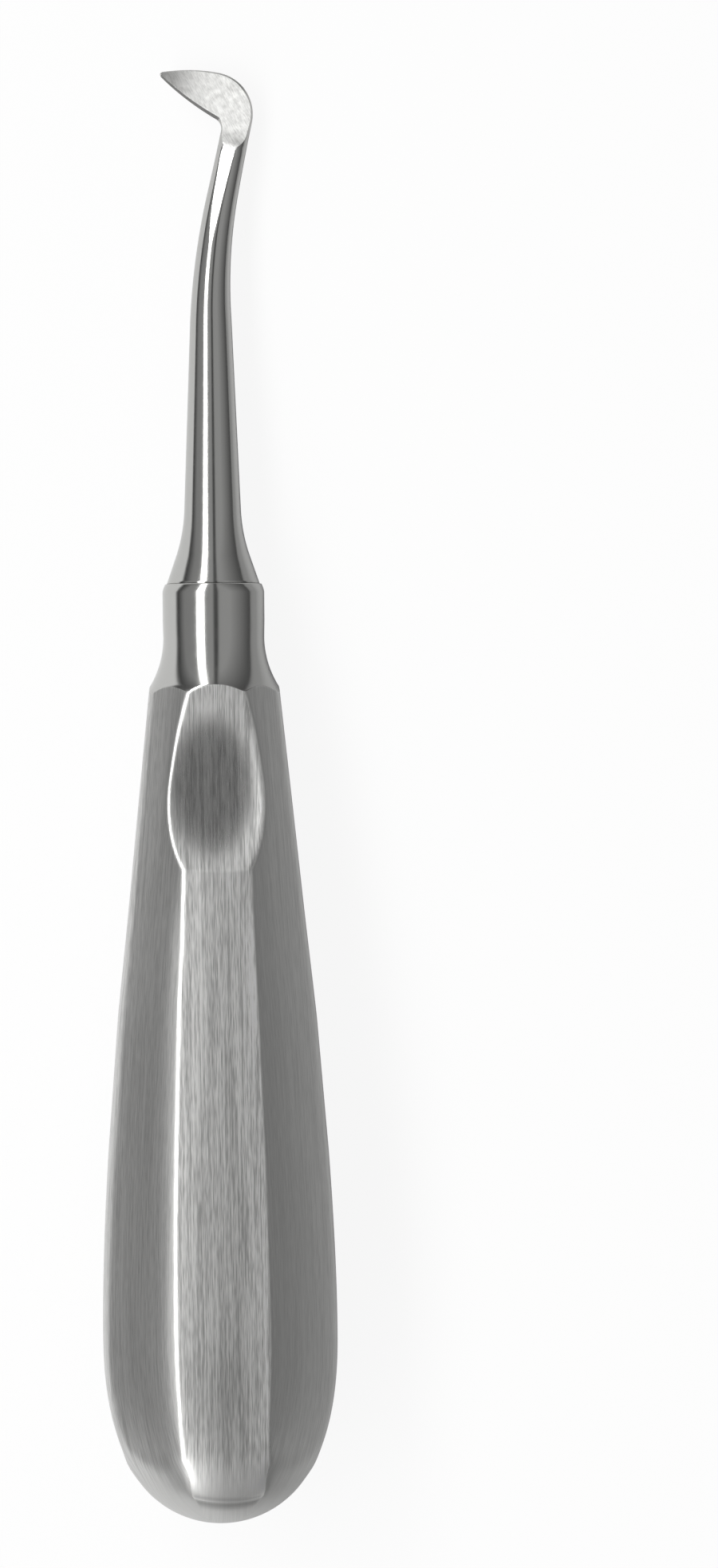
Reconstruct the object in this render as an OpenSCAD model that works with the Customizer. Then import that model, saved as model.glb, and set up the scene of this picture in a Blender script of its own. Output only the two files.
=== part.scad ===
// Dental elevator: an eight-sided pear-shaped handle with a turned neck and collar,
// and a one-piece working end of foot, tapered shank, leaning neck and flag-shaped blade.
// Lengths along the instrument are measured from the butt end.

/* [Grip] */
// Width over the flats at the belly, the widest place
belly_w = 24.5; // [22:0.1:27]
// Place of the belly
belly_at = 20; // [17:0.5:24]
// Width over the flats at the middle of the grip
mid_w = 22.2; // [20:0.1:24]
// Place of the middle of the grip
mid_at = 45; // [40:0.5:50]
// Width over the flats at the waist
waist_w = 18; // [16.5:0.1:20]
// Place of the waist
waist_at = 66; // [61:0.5:71]
// Width over the flats where they run out into the neck
end_w = 13.6; // [13:0.1:15]
// Place where the flats run out
flats_end = 87.4; // [85:0.1:89]
// Squareness of the butt's curve, where 2 is an ellipse
butt_power = 2.3; // [2.1:0.05:2.6]
// Extra depth of the four slanting flats
slant_cut = 0.15; // [0:0.05:0.3]
// Amount ground off the long edges between the flats
edge_cut = 0.3; // [0.2:0.05:0.5]
// Radius of the round cap that ends the butt
cap_r = 10.7; // [10:0.1:12]
// Depth of that cap, up to the ledge where the flats begin
cap_depth = 2.9; // [2.4:0.1:3.2]

/* [Thumb rest] */
// Place of the thumb rest's lowest point
thumb_at = 78; // [76:0.5:80]
// Height of its floor above the handle's axis
thumb_floor = 6.15; // [5.8:0.05:6.6]
// Radius of its steep side, towards the butt
thumb_back_r = 19; // [15:0.5:24]
// Radius of its long side, towards the neck
thumb_front_r = 90; // [70:1:120]

/* [Neck and collar] */
// Length of the handle, up to the seam
handle_len = 98.35; // [97.5:0.05:102]
// Diameter of the waisted neck
neck_d = 10.58; // [10:0.02:11]
// Place where the neck is thinnest
neck_at = 92.8; // [92:0.1:94]
// Radius of the hollow curve from the neck up to the flats
cove_r = 9.8; // [8:0.1:12]
// Diameter of the collar
collar_d = 10.66; // [10.4:0.02:12]
// Length of the collar, from the seam back to where it thins
collar_len = 3.8; // [2:0.1:4]
// Rounding of the collar's edge at the seam
collar_round = 0.45; // [0.3:0.05:0.8]

/* [Shank] */
// Length of the straight part that stands out of the handle
straight_len = 27.7; // [24:0.1:32]
// Distance by which the shank's foot stands inside the collar's edge at the seam
foot_inset = 0.45; // [0.3:0.05:0.9]
// Half angle of the foot's cone
foot_angle = 19; // [15:0.5:22]
// Length of that cone
foot_len = 2.9; // [2:0.1:3.6]
// Radius of the hollow curve between the cone and the shank
foot_cove_r = 17; // [12:0.5:22]
// Diameter of the shank where its bend starts
bend_d = 4.34; // [4:0.02:5]
// Radius of the bend
bend_r = 64; // [50:1:80]
// Angle that the neck leans out of the handle's axis
lean = 12; // [9:0.5:15]
// Length of the straight neck between the bend and the crotch of the blade
neck_len = 6.3; // [5:0.1:8]
// Diameter of the neck at the blade
neck_tip_d = 3; // [2.8:0.05:3.4]
// Diameter of the tang inside the handle
tang_d = 5; // [4:0.1:6]
// Length of the tang
tang_len = 16; // [10:0.5:20]
// Gap around the tang
tang_gap = 0.02; // [0.01:0.01:0.05]
// Free depth of the bore behind the tang
bore_spare = 0.5; // [0.3:0.1:1.5]

/* [Blade] */
// Distance of the blade's point from the handle's axis
blade_reach = 5.1; // [4.6:0.1:6]
// Radius of the inside corner between neck and blade
crotch_r = 1.15; // [0.9:0.05:1.4]
// Rise of the outer shoulder above the crotch
shoulder_rise = 1.5; // [1.2:0.1:1.8]
// Radius of the outer shoulder
shoulder_r = 4.4; // [4:0.1:4.8]
// Angle at which the shoulder passes into the top edge
shoulder_end = 78; // [76:1:80]
// Radius of the top edge
top_r = 16; // [14:0.5:20]
// Radius of the lower edge
low_r = 32; // [25:1:50]
// Radius of the rounded point
point_r = 0.3; // [0.2:0.05:0.5]
// Thickness of the blade behind its face at the heel
heel_t = 2; // [1.6:0.1:2.4]
// Thickness behind the face at the point
point_t = 0.45; // [0.3:0.05:0.8]
// Thickness of the blade's edges
edge_t = 0.15; // [0.1:0.05:0.3]
// Height of the ground face above the neck's centre line at the crotch
face_h = 0.72; // [0.5:0.02:0.9]
// Slope of the ground face towards the top edge
face_slope = 0.03; // [0:0.01:0.06]
// Sideways slope of the face where it runs out down the neck
face_roll = 0.25; // [0.1:0.05:0.35]
// Distance below the crotch at which the face starts to rise out of the neck
face_exit = 1; // [0.6:0.1:1.6]
// Rate at which it then rises
face_exit_rate = 0.27; // [0.2:0.01:0.4]

/* [Resting] */
// Place of the straight stretch of the flats that the instrument lies on
rest_at = 46; // [43:0.5:48]
// Length of that straight stretch
rest_len = 14; // [10:1:16]

/* [Hidden] */
$fn = 96;

sides = 8;
corner = 180 / sides;
past = 1;
grip_step = 4;
butt_steps = 9;
cove_steps = 8;
face_n = 8;
back_n = 28;
ring_n = face_n + back_n;
neck_rings = 18;
fan_rings = 9;
blade_rings = 10;
point_rings = 5;
thumb_steps = 12;

belly_r = belly_w / 2;
tang_r = tang_d / 2;
collar_r = collar_d / 2;
neck_r = neck_d / 2;

// Grip profile: half the width over the flats at a distance u from the butt end
GRIP = [
    [belly_at, belly_r],
    [mid_at, mid_w / 2],
    [waist_at, waist_w / 2],
    [flats_end, end_w / 2]
];

function grip_slope(i) =
    i == 0 ? 0 :
    i == len(GRIP) - 1 ? (GRIP[i][1] - GRIP[i - 1][1]) / (GRIP[i][0] - GRIP[i - 1][0]) :
    (GRIP[i + 1][1] - GRIP[i - 1][1]) / (GRIP[i + 1][0] - GRIP[i - 1][0]);

// Cubic curve from height a to height b over a span, with slopes ma and mb
function cubic(t, span, a, b, ma, mb) =
    a * (2 * pow(t, 3) - 3 * t * t + 1)
    + b * (3 * t * t - 2 * pow(t, 3))
    + ma * span * (pow(t, 3) - 2 * t * t + t)
    + mb * span * (pow(t, 3) - t * t);

function grip_span(u) = u < mid_at ? 0 : u < waist_at ? 1 : 2;

function grip_curve(u, i) =
    cubic((u - GRIP[i][0]) / (GRIP[i + 1][0] - GRIP[i][0]), GRIP[i + 1][0] - GRIP[i][0],
          GRIP[i][1], GRIP[i + 1][1], grip_slope(i), grip_slope(i + 1));

function butt_curve(u) =
    belly_r * pow(1 - pow((belly_at - u) / belly_at, butt_power), 1 / butt_power);

function flat_r(u) = u < belly_at ? butt_curve(u) : grip_curve(u, grip_span(u));
function edge_r(u) = flat_r(u) / cos(corner) - edge_cut;

// Places along the grip, left straight over the stretch that the instrument lies on
rest_from = rest_at - rest_len / 2;
rest_to = rest_at + rest_len / 2;
ledge_at = cap_depth;
butt_places = [
    for (i = [0:butt_steps - 1])
        ledge_at + (belly_at - ledge_at) * (1 - cos(90 * i / butt_steps))
];
belly_places = [for (u = [belly_at:grip_step:rest_from - grip_step / 2]) u];
front_places = [for (u = [rest_to + grip_step:grip_step:flats_end - grip_step / 2]) u];
grip_places = concat(butt_places, belly_places, [rest_from, rest_to], front_places);

// Tilt that brings the straight stretch of the rear flat onto the ground
tilt = atan((flat_r(rest_from) - flat_r(rest_to)) / rest_len);
rest_z = rest_from * sin(tilt) + flat_r(rest_from) * cos(tilt);

// Angle on the neck's hollow curve at which it reaches the long edges of the grip
cove_angle = acos(1 - (edge_r(flats_end) - neck_r) / cove_r);

module turned(points) rotate([-90, 0, 0]) rotate_extrude() polygon(points);

module handle_turned() {
    cap_r_at_ledge = sqrt(2 * cap_r * cap_depth - pow(cap_depth, 2));
    cap_angle = asin(cap_r_at_ledge / cap_r);
    turned(concat(
        [[0, 0]],
        [for (i = [1:butt_steps])
            let (a = cap_angle * i / butt_steps) [cap_r * sin(a), cap_r * (1 - cos(a))]],
        [for (u = grip_places) if (u > ledge_at && u < neck_at - cove_r * sin(cove_angle))
            [edge_r(u), u]],
        [for (i = [0:cove_steps])
            let (a = cove_angle * (1 - i / cove_steps))
            [neck_r + cove_r * (1 - cos(a)), neck_at - cove_r * sin(a)]],
        [[collar_r, handle_len - collar_len]],
        [for (i = [0:cove_steps])
            let (a = 90 * i / cove_steps)
            [collar_r - collar_round * (1 - cos(a)),
             handle_len - collar_round * (1 - sin(a))]],
        [[0, handle_len]]
    ));
}

// One pair of flats: the grip's side view, drawn through the whole width
module flat_pair(drop) {
    upper = concat(
        [[-past, flat_r(ledge_at) - drop]],
        [for (u = grip_places) [u, flat_r(u) - drop]],
        [[flats_end, flat_r(flats_end) - drop], [handle_len + past, flat_r(flats_end) - drop]]
    );
    lower = [for (i = [len(upper) - 1:-1:0]) [upper[i][0], -upper[i][1]]];
    rotate([90, 0, 90])
        linear_extrude(belly_w + 2 * past, center = true) polygon(concat(upper, lower));
}

module thumb_cut() {
    back_angle = acos(1 - (belly_r - thumb_floor) / thumb_back_r);
    run = handle_len - thumb_at;
    back = [for (i = [thumb_steps:-1:1])
        let (a = back_angle * i / thumb_steps)
        [thumb_at - thumb_back_r * sin(a), thumb_floor + thumb_back_r * (1 - cos(a))]];
    front = [for (i = [0:thumb_steps])
        let (v = run * i / thumb_steps)
        [thumb_at + v, thumb_floor + thumb_front_r - sqrt(pow(thumb_front_r, 2) - v * v)]];
    rotate([90, 0, 90])
        linear_extrude(belly_w, center = true)
            polygon(concat(back, front, [[handle_len, belly_r + past], [back[0][0], belly_r + past]]));
}

module bore() {
    translate([0, handle_len - tang_len - bore_spare, 0])
        rotate([-90, 0, 0]) cylinder(h = tang_len + bore_spare + past, r = tang_r + tang_gap);
}

module handle() color("silver") lay() difference() {
    intersection() {
        handle_turned();
        intersection_for (i = [0:sides / 2 - 1])
            rotate([0, 2 * corner * i, 0]) flat_pair(i % 2 * slant_cut);
    }
    thumb_cut();
    bore();
}

// Shank: radius of the foot's cone, its hollow curve and the taper up to the bend
bend_at = handle_len + straight_len;
foot_r = collar_r - foot_inset;
cone_end_r = foot_r - foot_len * tan(foot_angle);
cone_end = handle_len + foot_len;
function foot_drop(a) = foot_cove_r * (cos(a) - cos(foot_angle));
function foot_run(a) = foot_cove_r * (sin(foot_angle) - sin(a));
function taper_after(a) =
    atan((cone_end_r - foot_drop(a) - bend_d / 2) / (bend_at - cone_end - foot_run(a)));
shank_taper = taper_after(taper_after(0));

module shank_turned() {
    turned(concat(
        [[0, handle_len], [foot_r, handle_len]],
        [for (i = [0:cove_steps])
            let (a = foot_angle + (shank_taper - foot_angle) * i / cove_steps)
            [cone_end_r - foot_drop(a), cone_end + foot_run(a)]],
        [[bend_d / 2, bend_at], [0, bend_at]]
    ));
}

module tang() {
    translate([0, handle_len - tang_len, 0])
        rotate([-90, 0, 0]) cylinder(h = tang_len + foot_len, r = tang_r);
}

// Centre line of bend and neck, by its length s from the start of the bend
bend_len = bend_r * lean * PI / 180;
crotch_s = bend_len + neck_len;
neck_tip_r = neck_tip_d / 2;
function bend_a(s) = min(s / bend_len, 1) * lean;
function center(s) =
    [bend_r * (1 - cos(bend_a(s))) + max(s - bend_len, 0) * sin(lean),
     bend_at + bend_r * sin(bend_a(s)) + max(s - bend_len, 0) * cos(lean)];
function side(a) = [cos(a), -sin(a)];
neck_power = 1.7;
// The neck starts a hair inside the turned end of the shank
neck_seat = 0.01;
neck_root_r = bend_d / 2 - neck_seat;
function neck_round(s) =
    neck_tip_r + (neck_root_r - neck_tip_r) * pow(max(1 - s / crotch_s, 0), neck_power);

// Plan of the blade, as arcs that touch: crotch, lower edge, point, top edge, shoulder
along = [sin(lean), cos(lean)];
out = side(lean);
crotch_c = center(crotch_s) - (neck_tip_r + crotch_r) * out;
shoulder_c = center(crotch_s) + shoulder_rise * along + (neck_tip_r - shoulder_r) * out;
function ray(a) = [cos(a), sin(a)];
top_c = shoulder_c + (shoulder_r - top_r) * ray(shoulder_end);
point_angle = acos((point_r - blade_reach - top_c[0]) / (top_r - point_r));
point_c = top_c + (top_r - point_r) * ray(point_angle);

// Centre of the lower edge's arc: it holds the point's circle inside and the crotch's outside
gap = crotch_c - point_c;
gap_len = norm(gap);
to_point = low_r - point_r;
to_crotch = low_r + crotch_r;
foot = (pow(to_point, 2) - pow(to_crotch, 2) + pow(gap_len, 2)) / (2 * gap_len);
rise = sqrt(pow(to_point, 2) - foot * foot);
low_c = point_c + foot * gap / gap_len + rise * [-gap[1], gap[0]] / gap_len;
function heading(v) = atan2(v[1], v[0]);
crotch_end = heading(low_c - crotch_c);
low_end = heading(point_c - low_c);
fan_end = 50;

// Outer edge over the blade, by the share f of its length
shoulder_left = shoulder_r * (shoulder_end - fan_end);
top_left = top_r * (point_angle - shoulder_end);
function outer_blade(f) =
    f * (shoulder_left + top_left) < shoulder_left
        ? shoulder_c + shoulder_r * ray(fan_end + f * (shoulder_left + top_left) / shoulder_r)
        : top_c + top_r * ray(shoulder_end + (f * (shoulder_left + top_left) - shoulder_left) / top_r);

// Outer edge over the fan, by the share f of the turn
rise_share = 0.15;
function outer_fan(f) =
    f < rise_share
        ? center(crotch_s) + shoulder_rise * f / rise_share * along + neck_tip_r * out
        : shoulder_c + shoulder_r
            * ray(-lean + (fan_end + lean) * (f - rise_share) / (1 - rise_share));

point_mid = (low_end + 360 + point_angle) / 2;
point_stop = 8;

// Rails: each station is its stage, then the inner and the outer end of the section there
STATIONS = concat(
    [for (i = [0:neck_rings])
        let (s = crotch_s * i / neck_rings, a = bend_a(s), r = neck_round(s))
        [i / neck_rings, center(s) - r * side(a), center(s) + r * side(a)]],
    [for (i = [1:fan_rings])
        let (f = i / fan_rings)
        [1 + f, crotch_c + crotch_r * ray(-lean + (crotch_end + lean) * f), outer_fan(f)]],
    [for (i = [1:blade_rings])
        let (f = i / blade_rings)
        [2 + f,
         low_c + low_r * ray(crotch_end - 180 + (low_end - crotch_end + 180) * f),
         outer_blade(f)]],
    [for (i = [1:point_rings])
        let (f = i / point_rings)
        [3 + f,
         point_c + point_r * ray(low_end + 360 + (point_mid + point_stop - low_end - 360) * f),
         point_c + point_r * ray(point_angle + (point_mid - point_stop - point_angle) * f)]]
);

function ease(t) = let (c = min(max(t, 0), 1)) c * c * (3 - 2 * c);
function mix(a, b, t) = a + (b - a) * t;

// Height of the ground face over the plan
function face_z(p) =
    let (
        v = p - center(crotch_s),
        d = v * along,
        w = v * out,
        lift = max(-face_exit - d, 0)
    )
    face_h - face_slope * d + face_roll * w * (1 - ease(d / neck_tip_d + 1 / 2))
    + face_exit_rate * lift * lift;

// Angle at which a section's side meets the ground face, found by repeated correction
meet_max = 80;
meet_tries = 5;
function meet(m, h, mid_z, high, a = 0, tries = meet_tries) =
    tries == 0 ? a :
    let (s = min(max((face_z(m + h * cos(a)) - mid_z) / high, 0), 1))
    meet(m, h, mid_z, high, min(asin(s), meet_max), tries - 1);

// One section: round on the neck, flat in front and bulged behind on the blade.
// Its edge stands out a little on the crotch's side and is nearly upright on the outer side.
blend_from = 0.9;
blend_to = 1.9;
edge_out = 6;
edge_in = 2;
function section(st) =
    let (
        k = ease((st[0] - blend_from) / (blend_to - blend_from)),
        m = (st[1] + st[2]) / 2,
        h = (st[2] - st[1]) / 2,
        thick = mix(heel_t, point_t, ease(st[0] - 2)),
        mid_z = mix(0, face_z(m) - edge_t, k),
        deep = mix(norm(h), thick, k),
        high_out = mix(norm(h), edge_out * edge_t, k),
        high_in = mix(norm(h), edge_in * edge_t, k),
        a_out = meet(m, h, mid_z, high_out),
        a_in = 180 - meet(m, -h, mid_z, high_in),
        angles = concat(
            [for (j = [0:face_n - 1]) mix(a_out, a_in, j / face_n)],
            [for (j = [0:back_n - 1]) mix(a_in, 360 + a_out, j / back_n)]
        )
    )
    [for (a = angles)
        let (
            p = m + h * cos(a),
            high = cos(a) > 0 ? high_out : high_in,
            z = mid_z + (sin(a) < 0 ? deep : high) * sin(a)
        )
        [p[0], p[1], min(z, face_z(p))]];

module neck_and_blade() {
    rings = [for (st = STATIONS) section(st)];
    count = len(rings);
    start = [for (p = rings[0]) [p[0], p[1] - past, p[2]]];
    points = [for (r = concat([start], rings)) for (p = r) p];
    walls = [for (i = [0:count - 1]) for (j = [0:ring_n - 1])
        let (a = i * ring_n + j, b = i * ring_n + (j + 1) % ring_n)
        for (t = [[a, b, b + ring_n], [a, b + ring_n, a + ring_n]]) t];
    first = [[for (j = [ring_n - 1:-1:0]) j]];
    last = [[for (j = [0:ring_n - 1]) count * ring_n + j]];
    polyhedron(points, concat(walls, first, last), convexity = 6);
}

module blade_shank() color("gainsboro") lay() {
    tang();
    shank_turned();
    neck_and_blade();
}

// Laid on the ground on its rear flat, centred over the origin, point towards +Y
blade_top = top_c + [0, top_r];
butt_y = cap_r * (cos(tilt) - 1);
point_y = blade_top[1] * cos(tilt) + (face_z(blade_top) - edge_t) * sin(tilt);
module lay() {
    translate([0, -(butt_y + point_y) / 2, rest_z]) rotate([-tilt, 0, 0]) children();
}

handle();
blade_shank();
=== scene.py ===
import bpy
import numpy as np
from mathutils import Matrix, Vector


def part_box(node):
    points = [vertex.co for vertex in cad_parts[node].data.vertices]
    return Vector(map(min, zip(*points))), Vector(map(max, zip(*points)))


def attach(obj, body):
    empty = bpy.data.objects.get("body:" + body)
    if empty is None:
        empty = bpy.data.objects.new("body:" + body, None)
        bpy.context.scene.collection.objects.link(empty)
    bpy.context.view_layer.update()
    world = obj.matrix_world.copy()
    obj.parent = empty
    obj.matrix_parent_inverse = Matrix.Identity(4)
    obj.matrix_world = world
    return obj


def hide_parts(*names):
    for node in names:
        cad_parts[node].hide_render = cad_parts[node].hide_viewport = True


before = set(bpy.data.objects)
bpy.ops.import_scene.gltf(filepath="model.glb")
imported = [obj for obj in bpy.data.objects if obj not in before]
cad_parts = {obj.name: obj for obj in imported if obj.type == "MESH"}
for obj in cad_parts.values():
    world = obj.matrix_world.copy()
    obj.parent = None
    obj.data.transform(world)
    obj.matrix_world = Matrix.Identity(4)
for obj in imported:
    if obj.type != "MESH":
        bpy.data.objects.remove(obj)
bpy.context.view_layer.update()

# Handle. The real one is a pear-shaped grip of stainless steel, turned with its neck and collar in
# one piece. Eight flats are ground along it and brushed, and a thumb rest is ground into the front
# one. Neck and collar are polished.

# Lengths are in millimetres: u runs along the axis from the butt end, z towards the thumb rest.
# Half the width over the flats at four places, the squareness of the butt's curve, and the stretch
# that the instrument lies on
GRIP_AT = np.array([20, 45, 66, 87.4])
GRIP_HALF = np.array([12.25, 11.1, 9, 6.8])
BUTT_POWER = 2.3
REST_FROM, REST_TO = 39, 53
# How much deeper the slanting flats beside the front one are cut at four places, left and right
CUT_AT = [8, 20, 55, 80]
LEFT_CUT = [-0.05, -0.18, -0.28, 0]
RIGHT_CUT = [0.02, 0.05, 0.14, 0]
# Bow across every flat, how slanting and side flats fade into the cap, and the radius that is given
# to a ray which points away from a flat
FLAT_BOW_R = 75
FADE_FROM, FADE = 8.5, 0.04
LOWEST_COS, FAR = 0.2, 1000
# Round cap of the butt, which widens until there is room for the flats, and what is spare over them
CAP_R = 10.62
CAP_TO, FLATS_FULL = 4.2, 10
SPARE, WIDE_SPARE = 0.05, 1
# Ledge where front and rear flat begin, with the fine groove above it. Near it the front flat is askew
LEDGE_AT, LEDGE_HALF = 2.59, 6.65
LEDGE_SMILE, LEDGE_REACH = 0.48, 0.545
LEDGE_SLOPE, UNDER_LEDGE_SLOPE = 0.85, 0.97
GROOVE_AT, GROOVE_WIDTH, GROOVE = 0.3, 0.2, 0.03
FRONT_JOINS = 14
ASKEW = np.radians(4.5)
ASKEW_ENDS = (2, 12)
# Thumb rest, a trough of two radii, and the dish in its middle
THUMB_AT, THUMB_FLOOR = 78, 6.15
THUMB_BACK_R, THUMB_FRONT_R = 19, 90
THUMB_TO, THUMB_REACH = 12, 1.1
DISH_AT, DISH_LENGTH, DISH_RISE = 77, 8, 0.16
DISH_HALF_WIDTH, DISH_TO = 4.9, 1.4
# Rounding of the edges between the flats, and the wear along the front ones
EDGE_SHARP, THUMB_EDGE_SHARP = 0.12, 0.3
EDGE_CHANGES = [60, 74]
THUMB_RIM, SIDE_EDGE, REAR_EDGE = 0.12, 0.5, 0.42
WORN_WIDTH, WORN = 2, 0.04
# The left slanting flat leans in beside the front one, from the butt to the thumb rest
LEAN_IN, LEAN_IN_WIDTH, LEAN_IN_TO = 0.12, 1.25, 1.6
LEAN_STARTS, LEAN_FADES = (3, 8), 0.85
BY_THUMB = (60, 72)
# Hollow neck, collar and bore, and how softly flats and turned blank blend along the handle
NECK_AT, NECK_R, COVE_R = 92.8, 5.29, 9.8
HOLLOW_FROM = 80
BLEND_AT, BLEND = [1.2, 3.4, 12, 20], [1.0, 0.24, 0.24, 0.04]
CORNER_BLEND, CORNER_WIDTH = 0.22, 0.45
COLLAR_R, COLLAR_FROM = 5.33, 94.55
COLLAR_FALL, COLLAR_FALL_LENGTH, COLLAR_FALL_POWER = 0.28, 0.9, 1.6
SEAM_AT = 98.35
BORE_R, BORE_DEPTH, BORE_BEVEL = 2.52, 16.5, 0.05


def cubic(t, span, a, b, slope_a, slope_b):
    """Cubic curve from a to b over a span, with the slopes given at both ends."""
    return (a * (2 * t**3 - 3 * t**2 + 1) + b * (3 * t**2 - 2 * t**3)
            + slope_a * span * (t**3 - 2 * t**2 + t) + slope_b * span * (t**3 - t**2))


def between(x, start, end):
    """0 up to the start, 1 from the end on, and a smooth step between: 3 t squared less 2 t cubed."""
    t = np.clip((x - start) / (end - start), 0, 1)
    return t * t * (3 - 2 * t)


def grip_half(u):
    """Half the width over the flats: a superellipse at the butt, then cubics from place to place."""
    rise = np.diff(GRIP_HALF) / np.diff(GRIP_AT)
    middle = (GRIP_HALF[2:] - GRIP_HALF[:-2]) / (GRIP_AT[2:] - GRIP_AT[:-2])
    slope = np.concatenate([[0], middle, rise[-1:]])
    i = np.clip(np.searchsorted(GRIP_AT, u, side="right") - 1, 0, len(rise) - 1)
    span = GRIP_AT[i + 1] - GRIP_AT[i]
    t = (u - GRIP_AT[i]) / span
    grip = cubic(t, span, GRIP_HALF[i], GRIP_HALF[i + 1], slope[i], slope[i + 1])
    to_butt = np.clip(1 - u / GRIP_AT[0], 0, 1)
    butt = GRIP_HALF[0] * (1 - to_butt**BUTT_POWER) ** (1 / BUTT_POWER)
    return np.where(u < GRIP_AT[0], butt, grip)


rest_half = grip_half(np.array([REST_FROM, REST_TO], float))


def straight_half(u):
    """Half the width over the flats, made straight over the stretch that the instrument lies on."""
    straight = np.interp(u, [REST_FROM, REST_TO], rest_half)
    return np.where((u > REST_FROM) & (u < REST_TO), straight, grip_half(u))


def ledge_at(turn):
    """Place of the ledge along the axis, at an angle from its middle. Its ends curve up towards the
    grip with the square of the angle's tangent."""
    aside = np.clip(np.tan(np.clip(turn, -1, 1)) / LEDGE_REACH, -1, 1)
    return LEDGE_AT + LEDGE_SMILE * aside**2


def front_half(u, turn):
    """Distance of front and rear flat from the axis: a cubic down to the ledge, a fine groove just
    above the ledge, and a steeper face under it."""
    step = 0.01
    join = grip_half(np.float64(FRONT_JOINS))
    join_slope = (grip_half(np.float64(FRONT_JOINS + step)) - join) / step
    at = ledge_at(turn)
    span = FRONT_JOINS - at
    butt = cubic((u - at) / span, span, LEDGE_HALF, join, LEDGE_SLOPE, join_slope)
    under = LEDGE_HALF + UNDER_LEDGE_SLOPE * (u - at)
    groove = GROOVE * np.exp(-((u - at - GROOVE_AT) / GROOVE_WIDTH) ** 2)
    return np.where(u < at, under, np.where(u < FRONT_JOINS, butt, straight_half(u))) - groove


def lathe(u):
    """Radius of the turned blank: a round cap, then room for the flats, which are cut into it, then
    the hollow neck as an arc of its own radius, and the collar."""
    cap = np.sqrt(np.clip(2 * CAP_R * u - u**2, 0, None))
    corner = grip_half(np.maximum(u, LEDGE_AT)) / np.cos(np.pi / 8) + SPARE
    blank = cap + (corner - cap) * between(u, CAP_TO, FLATS_FULL)
    grip = np.where(u < FLATS_FULL, blank, corner + WIDE_SPARE)
    hollow = NECK_R + COVE_R - np.sqrt(np.clip(COVE_R**2 - (NECK_AT - u) ** 2, 0, None))
    collar = np.interp(u, [NECK_AT, COLLAR_FROM], [NECK_R, COLLAR_R])
    return np.where(u < HOLLOW_FROM, grip, np.where(u < NECK_AT, hollow, collar))


def flat(u, angle, number):
    """Radius at which the ray at an angle meets a flat, number 0 at the front and 4 at the rear. It is
    bowed a little across: half = r cos + (r sin) squared / (2 bow radius), solved for r. The front
    flat is ground slightly askew near the butt, where those between front and rear fade away."""
    own = np.abs(angle) - number * np.pi / 4
    half = straight_half(u) + FADE * np.maximum(FADE_FROM - u, 0) ** 2
    if number == 1:
        left, right = [np.interp(u, CUT_AT, cut) for cut in (LEFT_CUT, RIGHT_CUT)]
        half = half - np.where(angle < 0, left, right)
    if number == 0:
        own = angle - ASKEW * (1 - between(u, *ASKEW_ENDS))
    if number % 4 == 0:
        half = front_half(u, own)
    turn, aside = np.cos(own), np.sin(own)
    root = np.sqrt(turn**2 + 2 * half * aside**2 / FLAT_BOW_R)
    return np.where(turn > LOWEST_COS, 2 * half / (np.maximum(turn, LOWEST_COS) + root), FAR)


def soften(a, b, width):
    """The smaller of two radii, with the corner between them rounded where they differ by less than a
    width: it loses (width - difference) squared / (4 widths)."""
    return np.minimum(a, b) - np.maximum(width - np.abs(a - b), 0) ** 2 / (4 * width)


def wear(a, b, width):
    """A rounded corner, with the flats on both sides wearing away a little towards it over a wider strip.
    """
    worn_off = WORN * np.maximum(WORN_WIDTH - np.abs(a - b), 0) ** 2 / (4 * WORN_WIDTH)
    return soften(a, b, width) - worn_off


def slant(u, angle, beside):
    """Radius of the slanting flat beside the front one. On the left its last millimetre leans in: the
    radius falls with the square of how near it has come to the front flat's own radius."""
    cut = flat(u, angle, 1)
    lean = LEAN_IN * (angle < 0) * between(u, *LEAN_STARTS) * (1 - LEAN_FADES * between(u, *BY_THUMB))
    return cut - lean * np.clip(LEAN_IN_WIDTH + cut - beside, 0, LEAN_IN_TO) ** 2


def thumb(u, angle):
    """Radius of the thumb rest: a trough across the handle, an arc on either side of its lowest place.
    It is dished: the floor rises to both sides with the fourth power of the place across."""
    v = u - THUMB_AT
    big = np.where(v < 0, THUMB_BACK_R, THUMB_FRONT_R)
    floor = THUMB_FLOOR + big - np.sqrt(np.clip(big**2 - v**2, 0, None))
    rise = DISH_RISE * np.exp(-((u - DISH_AT) / DISH_LENGTH) ** 4)
    turn = np.abs(angle)
    slope = np.tan(np.minimum(turn, THUMB_REACH))
    height = floor
    # The place across depends on the height that it gives, and eight rounds settle both
    for _ in range(8):
        across = np.minimum(height * slope / DISH_HALF_WIDTH, DISH_TO)
        height = floor + rise * (across**4 - 1)
    inside = (turn < THUMB_REACH) & (v > -THUMB_BACK_R) & (v < THUMB_TO)
    return np.where(inside, height / np.maximum(np.cos(turn), LOWEST_COS), FAR)


def front(u, angle):
    """Radius of the front flat with the thumb rest ground into it."""
    return soften(flat(u, angle, 0), thumb(u, angle), THUMB_RIM)


def grip_radius(u, angle):
    """Radius of the grip: whichever flat is nearest the axis, with the edges between them rounded."""
    r = front(u, angle)
    r = wear(r, slant(u, angle, r), np.interp(u, EDGE_CHANGES, [EDGE_SHARP, THUMB_EDGE_SHARP]))
    r = soften(r, flat(u, angle, 2), SIDE_EDGE)
    r = soften(r, flat(u, angle, 3), SIDE_EDGE)
    return soften(r, flat(u, angle, 4), REAR_EDGE)


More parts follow.
